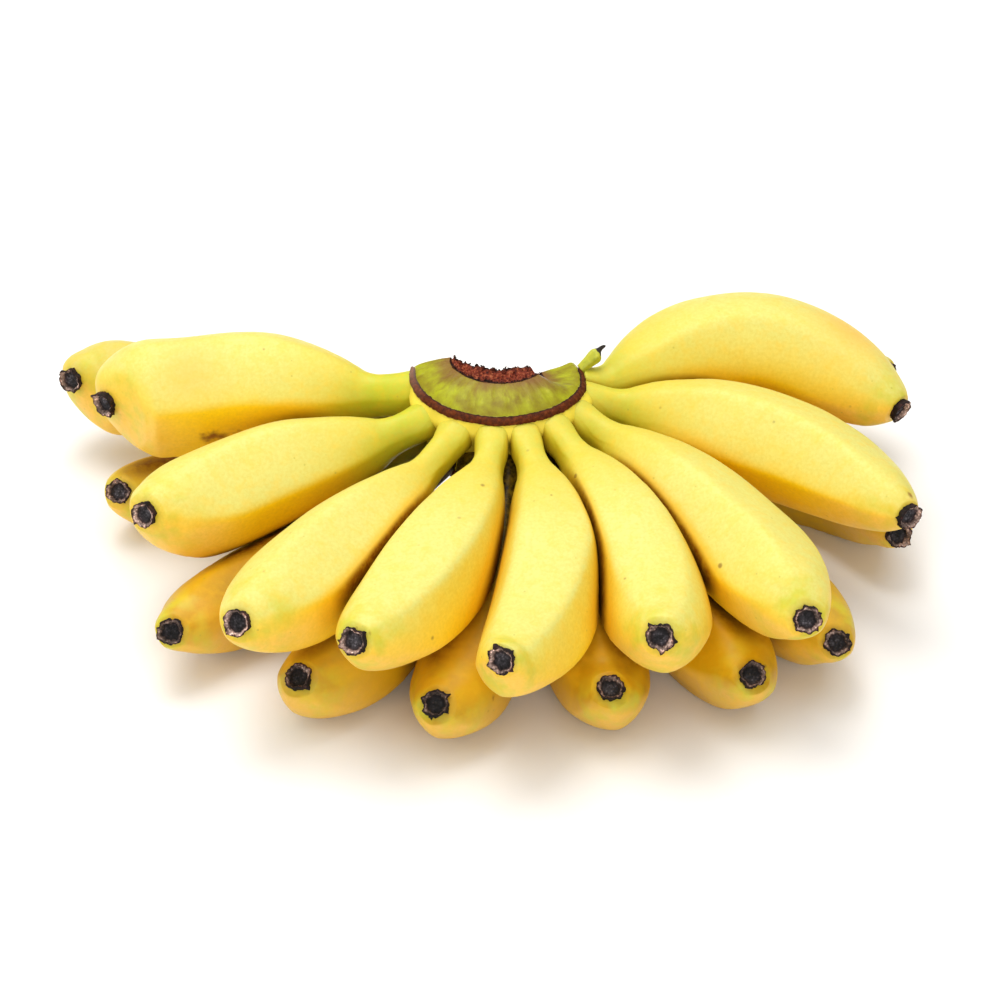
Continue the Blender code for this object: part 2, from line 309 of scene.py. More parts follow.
# Olive pores 0.4 to 0.9 mm wide, a few turned brown: how far apart, what share is missing, colour, strength.
for apart, missing, code, strength in ((3.5, 0.72, "#A2983A", 0.45), (8, 0.88, "#7A5420", 0.7)):
    pores = node(t, "ShaderNodeTexVoronoi", {"Vector": place, "Scale": 1000 / apart}, feature="F1")
    sizes = node(t, "ShaderNodeSeparateColor", (pores.outputs["Color"],))
    spot = remap(t, sizes.outputs[0], missing, 1, most=0.13)
    spot = calc(t, "SUBTRACT", spot, pores.outputs["Distance"])
    spot = remap(t, spot, -0.03, 0.05, most=strength)
    layers.append((spot, code))
# Knocks: a soft peach blush where it is fresh, brown and broken up where it is old.
layers += [(blush, "#EDB04A"), (harm, "#7E4408")]
colour = blend(t, painted_gold_shade, linear("#D7D072"), linear("#FBD010"))
for cover, code in layers:
    colour = blend(t, cover, colour, linear(code))
height = calc(t, "MULTIPLY_ADD", mottle, 2.0, grain)
bump = node(t, "ShaderNodeBump", {"Strength": 0.12, "Distance": 0.2 * MM, "Height": height})
feed(t, skin, {
    "Base Color": colour, "Roughness": gloss, "Normal": bump, "IOR": 1.45, "Specular IOR Level": 0.25,
    "Subsurface Weight": 0.06, "Subsurface Radius": (1.0, 0.6, 0.1), "Subsurface Scale": 2 * MM})

# The scar: dead flower tissue dried to cork, a dark cracked lip round a pale ring and a black middle.
scar, t, cork = new_material("dried_flower_scar_cork")
place = node(t, "ShaderNodeTexCoord").outputs["Object"]
inward, tone = [
    node(t, "ShaderNodeAttribute", attribute_name=name).outputs["Fac"] for name in ("inward", "tone")]
cracks = node(t, "ShaderNodeTexNoise", {"Vector": place, "Scale": 1000 / 1.6, "Detail": 5, "Roughness": 0.7})
ring = calc(t, "MULTIPLY_ADD", cracks, 0.22, inward)


def dye(ramp, stops):
    """Gives a colour ramp these stops."""
    while len(ramp.color_ramp.elements) < len(stops):
        ramp.color_ramp.elements.new(0.5)
    for element, (at, code) in zip(ramp.color_ramp.elements, stops):
        element.position = at
        element.color = linear(code)


ramp = node(t, "ShaderNodeValToRGB", {"Fac": ring})
dye(ramp, (
    (0.0, "#5E3A14"), (0.3, "#24100C"), (0.61, "#2E1614"), (0.66, "#8A6658"), (0.72, "#CDB0A2"),
    (0.78, "#9A7E72"), (0.84, "#2C1C1C"), (1.0, "#4C484C")))
# Granules 1 mm apart, cracks and patches 5 mm apart make it lighter and darker. The lower row's get painted
# shade and are darkest.
light = node(t, "ShaderNodeTexVoronoi", {
    "Vector": place, "Scale": 1000 / 1.0}, feature="F1").outputs["Distance"]
light = remap(t, light, 0.5, 0.15, most=1.3)
dark = remap(t, cracks, 0.38, 0.6, 0.2, 1.0)
dark = calc(t, "ADD", dark, light)
broken = node(t, "ShaderNodeTexNoise", {"Vector": place, "Scale": 1000 / 5, "Detail": 1})
broken = remap(t, broken, 0.4, 0.6, 0.35, 1.25)
lower_row_scar_shade = calc(t, "MULTIPLY_ADD", tone, -0.55, 1)
for factor in (broken, lower_row_scar_shade):
    dark = calc(t, "MULTIPLY", dark, factor)
shade = blend(t, 1.0, ramp, dark, blend_type="MULTIPLY")
bump = node(t, "ShaderNodeBump", {"Strength": 0.6, "Distance": 0.6 * MM, "Height": cracks})
feed(t, cork, {"Base Color": shade, "Roughness": 0.8, "Specular IOR Level": 0.3, "Normal": bump})

# The finger's shape, as a tree with its sizes as named inputs. SWELL: how it thickens, over the swell length.
SWELL = ((0, 0), (0.07, 0.05), (0.16, 0.22), (0.3, 0.49), (0.5, 0.76), (0.75, 0.95), (1, 1))


def bend(made, marks):
    """Gives a curve node these points."""
    line = made.mapping.curves[0]
    while len(line.points) < len(marks):
        line.points.new(0.5, 0.5)
    made.mapping.use_clip = False
    for point, mark in zip(line.points, marks):
        point.location = mark
    made.mapping.update()


def new_tree(name, makes, inputs):
    """A Geometry Nodes tree and what its inputs give. An input has its kind, or the value it starts at."""
    tree = bpy.data.node_groups.new(name, "GeometryNodeTree")
    tree.interface.new_socket(makes, in_out="OUTPUT", socket_type="NodeSocketGeometry")
    for key, value in inputs.items():
        kind = value if isinstance(value, str) else {int: "Int", float: "Float", tuple: "Vector"}[type(value)]
        socket = tree.interface.new_socket(key, in_out="INPUT", socket_type="NodeSocket" + kind)
        if kind is not value:
            socket.default_value = value
    return tree, node(tree, "NodeGroupInput").outputs


def tube(tree, around, stations):
    """A closed tube one metre long with this many sides and steps, which the tree's own steps then shape."""
    return node(tree, "GeometryNodeMeshCylinder", {
        "Vertices": around, "Side Segments": stations, "Fill Segments": 1, "Radius": 1.0, "Depth": 1.0},
        fill_type="TRIANGLE_FAN")


def on_tube(tree):
    """Where a point of the tube is: its turn round it, how far out it is and its share of the length."""
    here = node(tree, "ShaderNodeSeparateXYZ", (node(tree, "GeometryNodeInputPosition"),)).outputs
    turn = calc(tree, "ARCTAN2", here["Y"], here["X"])
    rim = node(tree, "ShaderNodeCombineXYZ", {"X": here["X"], "Y": here["Y"]})
    rim = node(tree, "ShaderNodeVectorMath", (rim,), operation="LENGTH").outputs["Value"]
    return turn, rim, calc(tree, "ADD", here["Z"], 0.5)


shape, given = new_tree("banana_finger", "Finger", {
    "Root": "Vector", "Leave Handle": "Vector", "Arrive Handle": "Vector", "Tip": "Vector", "Girth": "Float",
    "Roll": "Float", "Nod": "Vector", "Nod Length": 42 * MM, "Sway": "Vector", "Seed": "Float",
    "Shoulder Radius": 8.8 * MM, "Shoulder Length": 13 * MM, "Neck Radius": 6.4 * MM, "Neck Squeeze": 0.11,
    "Neck Length": 13 * MM, "Swell Length": 58 * MM, "Taper Length": 43 * MM, "Dome": 0.0,
    "Peel Stops": 2.9 * MM, "Scar Radius": 4.0 * MM, "Scar Starts": 3.9 * MM, "Scar Height": 4.0 * MM,
    "Ridge Share": 0.85, "Unevenness": 0.9 * MM, "Peel": "Material", "Scar": "Material"})
g = shape
line = node(g, "GeometryNodeCurvePrimitiveBezierSegment", {
    "Resolution": 96, "Start": given["Root"], "Start Handle": given["Leave Handle"],
    "End Handle": given["Arrive Handle"], "End": given["Tip"]})
length = node(g, "GeometryNodeCurveLength", (line,))
turn, rim, share = on_tube(g)
cosine, sine = [calc(g, kind, turn) for kind in ("COSINE", "SINE")]
# Stations crowd towards both ends. The peel ends just inside the scar's foot.
wave = calc(g, "MULTIPLY", share, math.pi)
wave = calc(g, "COSINE", wave)
wave = remap(g, wave, 1, -1, most=0.45)
crowd = calc(g, "MULTIPLY_ADD", share, 0.55, wave)
skin_length = calc(g, "SUBTRACT", length, given["Peel Stops"])
along = calc(g, "MULTIPLY", crowd, skin_length)
left = calc(g, "SUBTRACT", length, along)
# The radius: a shoulder at the crown, a neck, a swelling body and a tip that closes on the scar.
beyond = calc(g, "SUBTRACT", along, given["Neck Length"])
rise = remap(g, beyond, 0, given["Swell Length"])
rise = node(g, "ShaderNodeFloatCurve", {"Value": rise})
bend(rise, SWELL)
waist = calc(g, "MULTIPLY", given["Girth"], 0.5)
body = blend(g, rise, given["Neck Radius"], waist, data_type="FLOAT")
close = remap(g, left, given["Taper Length"], given["Dome"])
close = calc(g, "MULTIPLY", close, close)
close = calc(g, "SUBTRACT", 1, close)
close = calc(g, "SQRT", close)
body = calc(g, "MULTIPLY", body, close)
least = calc(g, "MULTIPLY", given["Scar Radius"], 1.06)
body = calc(g, "SMOOTH_MAX", body, least, 1.2 * MM)
round_size = body
flare = soft_remap(g, along, given["Shoulder Length"], 0.0)
extra = calc(g, "SUBTRACT", given["Shoulder Radius"], given["Neck Radius"])
extra = calc(g, "MULTIPLY", flare, extra)
sideways = calc(g, "MULTIPLY", sine, sine)
# A neck is squeezed from its sides by the next ones, so it is taller than wide.
squeeze = remap(g, rise, 0.7, 0, most=given["Neck Squeeze"])
tallness = calc(g, "MULTIPLY_ADD", sideways, -2, 1)
tallness = calc(g, "MULTIPLY_ADD", tallness, squeeze, 1)
body = calc(g, "MULTIPLY", body, tallness)
body = calc(g, "MULTIPLY_ADD", sideways, extra, body)
# The section: five flat sides between soft ridges. They start past the neck.
turned = calc(g, "SUBTRACT", turn, given["Roll"])
off = calc(g, "PINGPONG", turned, math.pi / RIDGES)
edge, starts, ends = [
    soft_remap(g, value, start, full, least)
    for value, start, full, least in (
        (off, math.radians(16), 0, 0), (along, 12 * MM, 42 * MM, 0.25), (left, 5 * MM, 34 * MM, 0.3))]
soft = calc(g, "MULTIPLY_ADD", off, off, math.radians(5) ** 2)
soft = calc(g, "SQRT", soft)
slant = calc(g, "SUBTRACT", math.pi / RIDGES, soft)
slant = calc(g, "COSINE", slant)
flat = calc(g, "DIVIDE", math.cos(math.pi / RIDGES) * 1.115, slant)
flat = calc(g, "SUBTRACT", flat, 1)
ridged = given["Ridge Share"]
for factor in (starts, ends):
    ridged = calc(g, "MULTIPLY", factor, ridged)
section = calc(g, "MULTIPLY_ADD", flat, ridged, 1)
# Where each point goes: out from the middle line, in a frame whose first axis points up. Over the nod length
# the line swings by x (1 - x)^2 times the nod, so that the scar turns and stays where it is.
spot = node(g, "GeometryNodeSampleCurve", {"Curves": line, "Length": along}, mode="LENGTH")
x = remap(g, left, 0, given["Nod Length"])
short = calc(g, "SUBTRACT", 1, x)
swing = short
for factor in (short, x, given["Nod Length"], -1):
    swing = calc(g, "MULTIPLY", swing, factor)
centre = node(g, "ShaderNodeVectorMath", {0: given["Nod"], "Scale": swing}, operation="SCALE")
centre = node(g, "ShaderNodeVectorMath", (centre, spot.outputs["Position"]), operation="ADD")
hang, hold = [soft_remap(g, left, start * MM, full * MM) for start, full in ((1, 12), (68, 24))]
hang = calc(g, "MULTIPLY", hang, hold)
hang = node(g, "ShaderNodeVectorMath", {0: given["Sway"], "Scale": hang}, operation="SCALE")
centre = node(g, "ShaderNodeVectorMath", (centre, hang), operation="ADD")
steer = calc(g, "MULTIPLY_ADD", x, -3, 1)
steer = calc(g, "MULTIPLY", steer, short)
ahead = node(g, "ShaderNodeVectorMath", {0: given["Nod"], "Scale": steer}, operation="SCALE")
ahead = node(g, "ShaderNodeVectorMath", (ahead, spot.outputs["Tangent"]), operation="ADD")


def heading(ahead):
    """This way as a unit vector, and the way out from the middle line at this turn round it."""
    ahead = node(g, "ShaderNodeVectorMath", (ahead,), operation="NORMALIZE")
    side = node(g, "ShaderNodeVectorMath", (ahead, (0, 0, 1)), operation="CROSS_PRODUCT")
    side = node(g, "ShaderNodeVectorMath", (side,), operation="NORMALIZE")
    up = node(g, "ShaderNodeVectorMath", (side, ahead), operation="CROSS_PRODUCT")
    out = node(g, "ShaderNodeVectorMath", {0: up, "Scale": cosine}, operation="SCALE")
    aside = node(g, "ShaderNodeVectorMath", {0: side, "Scale": sine}, operation="SCALE")
    return ahead, node(g, "ShaderNodeVectorMath", (out, aside), operation="ADD")


ahead, out = heading(ahead)
# Slow swells, 30 mm apart, keep two fingers from being alike.
seed = node(g, "ShaderNodeCombineXYZ", {"X": given["Seed"], "Z": given["Seed"]})
bulge = node(g, "ShaderNodeVectorMath", (out, (0.02, 0.02, 0.02), centre), operation="MULTIPLY_ADD")
bulge = node(g, "ShaderNodeVectorMath", (bulge, seed), operation="ADD")
bulge = node(g, "ShaderNodeTexNoise", {"Vector": bulge, "Scale": 1 / 0.03, "Detail": 1})
bulge = calc(g, "SUBTRACT", bulge, 0.5)
bulge = calc(g, "MULTIPLY", bulge, given["Unevenness"])
grown = calc(g, "MULTIPLY_ADD", body, section, bulge)
grown = calc(g, "MULTIPLY", grown, rim)
target = node(g, "ShaderNodeVectorMath", {0: out, "Scale": grown}, operation="SCALE")
target = node(g, "ShaderNodeVectorMath", (target, centre), operation="ADD")
wall = tube(g, 90, 150)
from_crown, to_scar = [calc(g, "MULTIPLY", value, 1 / MM) for value in (along, left)]
belly = calc(g, "MULTIPLY", cosine, -1)
kept = {
    "from_crown": from_crown, "to_scar": to_scar, "belly": belly, "size": round_size, "middle": centre}
for name, value in kept.items():
    kind = "FLOAT_VECTOR" if value is centre else "FLOAT"
    wall = node(g, "GeometryNodeStoreNamedAttribute", {"Geometry": wall, "Name": name, "Value": value},
                data_type=kind, domain="POINT")
wall = node(g, "GeometryNodeSetPosition", {"Geometry": wall, "Position": target})
wall = node(g, "GeometryNodeSetMaterial", {"Geometry": wall, "Material": given["Peel"]})

# The scar's own tube runs from its foot in the peel, up its side, over the lip and in to the middle.
profile = {
    "far": (
        (0, 1), (0.22, 1.05), (0.4, 1.12), (0.5, 1.06), (0.6, 0.92), (0.72, 0.74), (0.88, 0.38), (1, 0.02)),
    "high": (
        (0, 0), (0.22, 0.4), (0.4, 0.8), (0.5, 0.9), (0.6, 0.8), (0.72, 0.48), (0.88, 0.42), (1, 0.58))}
curves = {}
for name, marks in profile.items():
    curves[name] = node(g, "ShaderNodeFloatCurve", {"Value": share})
    bend(curves[name], marks)
corner = calc(g, "POWER", edge, 3)
lip = remap(g, share, 0.62, 0.45)
corner = calc(g, "MULTIPLY", corner, lip)
# Some of its corners, which are the ridges' ends, stick out, and its lip is ragged.
chance, ragged = [
    node(g, "ShaderNodeVectorMath", (out, (size, size, size), seed), operation="MULTIPLY_ADD")
    for size in (10 * MM, 4 * MM)]
chance = node(g, "ShaderNodeTexNoise", {"Vector": chance, "Scale": 1000 / 6, "Detail": 0})
chance = remap(g, chance, 0.52, 0.68, most=0.30)
spread = calc(g, "MULTIPLY_ADD", corner, chance, 1)
ragged = node(g, "ShaderNodeTexNoise", {"Vector": ragged, "Scale": 1000 / 2.2, "Detail": 3})
ragged = remap(g, ragged, 0.3, 0.7, -0.13, 0.19)
spread = calc(g, "ADD", spread, ragged)
wide = curves["far"]
for factor in (given["Scar Radius"], spread, rim):
    wide = calc(g, "MULTIPLY", wide, factor)
foot = calc(g, "SUBTRACT", length, given["Scar Starts"])
tall = calc(g, "MULTIPLY_ADD", curves["high"], given["Scar Height"], foot)
knob_at = node(g, "GeometryNodeSampleCurve", {"Curves": line, "Length": length}, mode="LENGTH")
knob_ahead = node(g, "ShaderNodeVectorMath", (given["Nod"], knob_at.outputs["Tangent"]), operation="ADD")
knob_ahead, knob_out = heading(knob_ahead)
knob_out = node(g, "ShaderNodeVectorMath", {0: knob_out, "Scale": wide}, operation="SCALE")
forth = calc(g, "SUBTRACT", tall, length)
forth = node(g, "ShaderNodeVectorMath", {0: knob_ahead, "Scale": forth}, operation="SCALE")
knob_to = node(g, "ShaderNodeVectorMath", (knob_out, forth), operation="ADD")
knob_to = node(g, "ShaderNodeVectorMath", (knob_to, knob_at.outputs["Position"]), operation="ADD")
crust = node(g, "ShaderNodeTexNoise", {
    "Vector": knob_to, "Scale": 1000 / 1.8, "Detail": 4, "Roughness": 0.65})
crust = node(g, "ShaderNodeVectorMath", (crust.outputs["Color"], (0.5, 0.5, 0.5)), operation="SUBTRACT")
crust = node(g, "ShaderNodeVectorMath", {0: crust, "Scale": 1.5 * MM}, operation="SCALE")
knob_to = node(g, "ShaderNodeVectorMath", (knob_to, crust), operation="ADD")
knob = tube(g, 60, 26)
knob = node(g, "GeometryNodeStoreNamedAttribute", {"Geometry": knob, "Name": "inward", "Value": share},
            data_type="FLOAT", domain="POINT")
knob = node(g, "GeometryNodeSetPosition", {"Geometry": knob, "Position": knob_to})
knob = node(g, "GeometryNodeSetMaterial", {"Geometry": knob, "Material": given["Scar"]})

whole = node(g, "GeometryNodeJoinGeometry")
g.links.new(wall.outputs[0], whole.inputs[0])
g.links.new(knob.outputs[0], whole.inputs[0])
whole = node(g, "GeometryNodeSetShadeSmooth", {"Geometry": whole})
whole = node(g, "GeometryNodeRealizeInstances", {"Geometry": whole})
node(g, "NodeGroupOutput", {"Finger": whole})


def made_by(tree, name, values, start=None):
    """A plain mesh object of what this tree makes with these inputs, from a mesh or from nothing."""
    host = bpy.data.objects.new(name, start or bpy.data.meshes.new(name))
    scene.collection.objects.link(host)
    modifier = host.modifiers.new("shape", "NODES")
    modifier.node_group = tree
    for item in tree.interface.items_tree:
        if item.name in values:
            modifier[item.identifier] = values[item.name]
    graph = bpy.context.evaluated_depsgraph_get()
    grown = host.evaluated_get(graph)
    mesh = bpy.data.meshes.new_from_object(grown, preserve_all_data_layers=True, depsgraph=graph)
    host.modifiers.clear()
    host.data = mesh
    mesh.name = name
    return host


def read(rows, key, width):
    """What every row has under this key, as an array."""
    values = np.empty(len(rows) * width, np.float32)
    rows.foreach_get(key, values)
    return values.reshape(-1, width).astype(float) if width > 1 else values.astype(float)


def write(mesh, name, values):
    """Gives the mesh's points this attribute."""
    attribute = mesh.attributes.new(name, "FLOAT", "POINT")
    attribute.data.foreach_set("value", np.asarray(values, np.float32))


def free_run(middles, rays, sizes, neighbours):
    """How far each ray may run from its middle until it is half-way between its skin and a neighbour's."""
    least = np.full(len(rays), np.inf)
    for rows in neighbours:
        centres, lead = rows[:, :3], rows[:, 3] - sizes[:, None] + CONTACT
        apart = (middles**2).sum(1)[:, None] - 2 * middles @ centres.T + (centres**2).sum(1) - lead**2
        toward = rays @ centres.T - (rays * middles).sum(1)[:, None] + lead
        limit = np.where(toward > 0, apart / np.maximum(2 * toward, 1e-9), np.inf)
        least = np.minimum(least, limit.min(1))
    return least


# Old knocks and fresh ones: a place on the hand and how wide, in mm, and how strong.
BRUISES = [
    ((-104, 26.5, 50.5), 5, 0.58), ((-98, 26.5, 50.5), 5, 0.66), ((-91, 25.5, 51.5), 4, 0.55),
    ((3.4, -82.7, 18), 1.8, 0.7), ((1.7, -86.6, 15), 1.6, 0.6), ((45.4, -89.2, 21), 1.3, 0.9),
    ((122.9, -51.2, 30), 3.5, 0.45), ((148.8, -26.2, 62), 2.0, 1.0), ((142.6, -22.6, 66), 1.8, 0.9),
    ((-37, -97.7, 58), 1.6, 0.8)]
BLUSHES = [
    ((-107.5, 35, 74), 11, 0.9), ((136.7, 61.4, 74), 14, 0.9), ((-96, -50, 28), 8, 0.5),
    ((150, -30, 55), 9, 0.6)]
INTO_CROWN = 4 * MM
TOUCHING = 5 * MM  # two fingers nearer than this are cut back from each other

fruits = {}
lines = {}
for number, finger in enumerate(FINGERS):
    root, leave, arrive, tip = handles(finger)
    inner = root - direction(finger.bearing, finger.row.leave_pitch) * INTO_CROWN
    fruit = made_by(shape, "banana_" + finger.name, {
        "Root": inner, "Leave Handle": leave, "Arrive Handle": arrive, "Tip": tip,
        "Girth": finger.girth * GIRTH_SCALE * MM, "Roll": math.radians(finger.roll), "Seed": number * 0.37,
        "Nod": finger.nod, "Sway": Vector(finger.sway) * MM, "Neck Length": NECKS.get(finger.name, 13) * MM,
        "Swell Length": SWELLS.get(finger.name, 58) * MM, "Taper Length": TAPERS.get(finger.name, 43) * MM,
        "Dome": DOMES.get(finger.name, 0) * MM, "Neck Radius": NECK_RADII.get(finger.name, 6.4) * MM,
        "Ridge Share": RIDGE_SHARES.get(finger.name, 0.85), "Peel": peel, "Scar": scar})
    fruits[finger.name] = fruit
    size = read(fruit.data.attributes["size"].data, "value", 1)
    middle = read(fruit.data.attributes["middle"].data, "vector", 3)
    lines[finger.name] = np.unique(np.round(np.column_stack([middle, size]), 5)[size > 0], axis=0)

for finger in FINGERS:
    fruit = fruits[finger.name]
    mesh = fruit.data
    place = read(mesh.vertices, "co", 3)
    middle = read(mesh.attributes["middle"].data, "vector", 3)
    size = read(mesh.attributes["size"].data, "value", 1)
    ray = place - middle
    reach = np.linalg.norm(ray, axis=1)
    peeled = (size > 0) & (reach > 1 * MM)
    ray[peeled] /= reach[peeled, None]
    own = lines[finger.name]
    others = []
    for name, other in lines.items():
        if name == finger.name:
            continue
        gap = np.linalg.norm(own[:, None, :3] - other[None, :, :3], axis=2)
        gap -= own[:, None, 3] + other[None, :, 3]
        if gap.min() < TOUCHING:
            push = PUSHES.get((finger.name, name), 0) - PUSHES.get((name, finger.name), 0)
            others.append(other - [0, 0, 0, 2 * push])
    # The smaller of the free and the shared distance, with a soft turn between them.
    free, limit = reach[peeled], free_run(middle[peeled], ray[peeled], size[peeled], others)
    limit = np.clip(limit, 0.3 * free, free + 16 * MM)
    pressed = (free + limit - np.sqrt((free - limit) ** 2 + ROUNDING**2)) / 2
    reach[peeled] = np.where(limit > free + 3 * MM, free, np.maximum(pressed, 0.5 * MM))
    # Painted shade near neighbours: the nearer another finger, the darker the skin. The lower row's reaches
    # further, for the shade of the upper row over it.
    near = PAINTED_SHADE_REACH * (1.8 if finger.row is LOWER else 1)
    painted_shade_near_neighbours = np.zeros(len(place))
    painted_shade_near_neighbours[peeled] = np.clip(1 - (limit - free) / near, 0, 1.5)
    place[peeled] = middle[peeled] + ray[peeled] * reach[peeled, None]
    place[:, 2] = np.maximum(place[:, 2], 0)
    mesh.vertices.foreach_set("co", place.astype(np.float32).ravel())
    write(mesh, "green", np.full(len(place), finger.green))
    write(mesh, "tone", np.full(len(place), finger.tone))
    for mark, knocks in (("bruise", BRUISES), ("blush", BLUSHES)):
        blotch = np.zeros(len(place))
        for centre, width, strength in knocks:
            blotch += strength * np.exp(-((place - np.array(centre) * MM) ** 2).sum(1) / (width * MM) ** 2)
        write(mesh, mark, blotch)
    write(mesh, "painted_shade_near_neighbours", painted_shade_near_neighbours)
    mesh.update()
    # How far each point faces up, for the painted shade from lemon to gold.
    write(mesh, "up_facing_for_painted_shade", read(mesh.vertex_normals, "vector", 3)[:, 2])
    for name in ("middle", "size"):
        mesh.attributes.remove(mesh.attributes[name])
    mesh.update()
    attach(fruit, "root")
    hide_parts("finger_" + finger.name)


# The crown: half a ring of stalk tissue, sliced from the bunch with a knife. Its green rind rises in a
# cushion from the brown line where a leaf fell off to the fibrous face of the cut, and is streaked along its
# strands.
RING_RADIUS = 33 * MM
RING_HEIGHT = 72.5 * MM
CUT_RADIUS = 18 * MM
CUT_HEIGHT = 79.5 * MM
CROWN_FROM = -95
CROWN_TO = 110
WALL_FOOT = 42 * MM
WALL_SLOPE = 0.08
BOW_FROM = 40  # from this bearing to its right end, the crown bows down and in
BOW_DOWN = 3.4 * MM
BOW_IN = 2.2 * MM
# From which bearing the cut's near edge dips, over how many degrees, and how far: on the right, on the left.
RIGHT_DIP, RIGHT_DIP_BY = (46, 34), 7.0 * MM
LEFT_DIP, LEFT_DIP_BY = (55, 30), 1.5 * MM
# The cut's far edge stands higher towards both ends, and drops behind the torn rind on the right.
FAR_RISE, FAR_RISE_BY = (15, 25), 1.3 * MM
FAR_DROP, FAR_DROP_BY = (66, 12), 8.5 * MM
# The yellow flange below the ring: how far it stands out, how much it waves, and how it widens on the right.
FLANGE, FLANGE_WAVE = 2.0 * MM, 0.7 * MM
FLANGE_WIDENS, FLANGE_WIDENS_BY = (20, 30), 1.0 * MM


def wall_at(height):
    return RING_RADIUS - (RING_HEIGHT - height) * WALL_SLOPE


def past(start, span, value):
    """How far a value is past a start, as a share of this span, from 0 to 1."""
    return min(1, max(0, (value - start) / span))


def eased(share):
    """A share with a soft start and a soft stop."""
    return share * share * (3 - 2 * share)


rind, t, bark = new_material("green_rind_streaked")
place = node(t, "ShaderNodeTexCoord").outputs["Object"]
across, around, torn = [
    node(t, "ShaderNodeAttribute", attribute_name=name).outputs["Fac"]
    for name in ("across", "around", "torn")]
# Strands run from the ring up to the cut, about 2 mm apart: noise drawn out along them.
polar = node(t, "ShaderNodeCombineXYZ", {"X": around, "Y": across})
bent = node(t, "ShaderNodeTexNoise", {"Vector": place, "Scale": 1000 / 6, "Detail": 2})
bent = node(t, "ShaderNodeVectorMath", (bent.outputs["Color"], (14, 0.5, 0)), operation="MULTIPLY")
polar = node(t, "ShaderNodeVectorMath", (polar, bent), operation="ADD")
strands = node(t, "ShaderNodeVectorMath", (polar, (0.16, 1.9, 1)), operation="MULTIPLY")
strands = node(t, "ShaderNodeTexNoise", {"Vector": strands, "Scale": 1.0, "Detail": 6, "Roughness": 0.68})
patches, brown = [
    node(t, "ShaderNodeTexNoise", {"Vector": place, "Scale": 1000 / size, "Detail": detail})
    for size, detail in ((7, 5), (13, 3))]
brink = calc(t, "MULTIPLY_ADD", brown, 0.9, across)
# Fades: what drives each, where it starts and is full, and how strong it is at both.
tone, streak, rising, pale, seam, below, gloss = [
    remap(t, value, start, full, least, most)
    for value, start, full, least, most in (
        (patches, 0.35, 0.65, 0, 1), (strands, 0.47, 0.72, 0, 0.85), (across, 0.1, 0.9, 0.35, 1),
        (strands, 0.42, 0.25, 0, 0.5), (across, 0.07, 0.02, 0, 0.7), (across, 0.0, -0.06, 0, 1),
        (strands, 0.3, 0.7, 0.38, 0.55))]
streak = calc(t, "MULTIPLY", streak, rising)
brink = soft_remap(t, brink, 0.92, 1.45, most=0.85)
# Layers: brown and pale strands, brown by the cut, a pale seam over the ring, yellow below, the torn place.
colour = blend(t, tone, linear("#80720A"), linear("#A4A810"))
for cover, code in (
        (streak, "#6E4A18"), (pale, "#C4B62C"), (brink, "#7A5228"), (seam, "#C9B488"), (below, "#EAD446"),
        (torn, "#A8927E")):
    colour = blend(t, cover, colour, linear(code))
relief = calc(t, "ADD", strands, patches)
bump = node(t, "ShaderNodeBump", {"Strength": 0.5, "Distance": 0.5 * MM, "Height": relief})
feed(t, bark, {
    "Base Color": colour, "Roughness": gloss, "Normal": bump, "Specular IOR Level": 0.2,
    "Subsurface Weight": 0.1, "Subsurface Radius": (0.8, 0.8, 0.2), "Subsurface Scale": 1.5 * MM})

# The cut: strands torn across by the knife, which bled sap and dried red-brown to black.
cut, t, fibre = new_material("torn_stalk_fibre_dried")
place = node(t, "ShaderNodeTexCoord").outputs["Object"]
ends = node(t, "ShaderNodeTexVoronoi", {
    "Vector": place, "Scale": 1000 / 1.3}, feature="F1").outputs["Distance"]
flecks = node(t, "ShaderNodeTexNoise", {"Vector": place, "Scale": 1000 / 1.1, "Detail": 4, "Roughness": 0.65})
stain = calc(t, "MULTIPLY_ADD", ends, 0.45, flecks)
ramp = node(t, "ShaderNodeValToRGB", {"Fac": stain})
dye(ramp, ((0.0, "#140604"), (0.45, "#34100A"), (0.62, "#5E2012"), (0.78, "#86361E"), (0.95, "#A8603E")))
edge_dark = node(t, "ShaderNodeAttribute", attribute_name="rim").outputs["Fac"]
shade = blend(t, edge_dark, ramp, linear("#1A0D08"))
bump = node(t, "ShaderNodeBump", {"Strength": 0.8, "Distance": 1 * MM, "Height": stain})
feed(t, fibre, {"Base Color": shade, "Roughness": 0.75, "Specular IOR Level": 0.2, "Normal": bump})

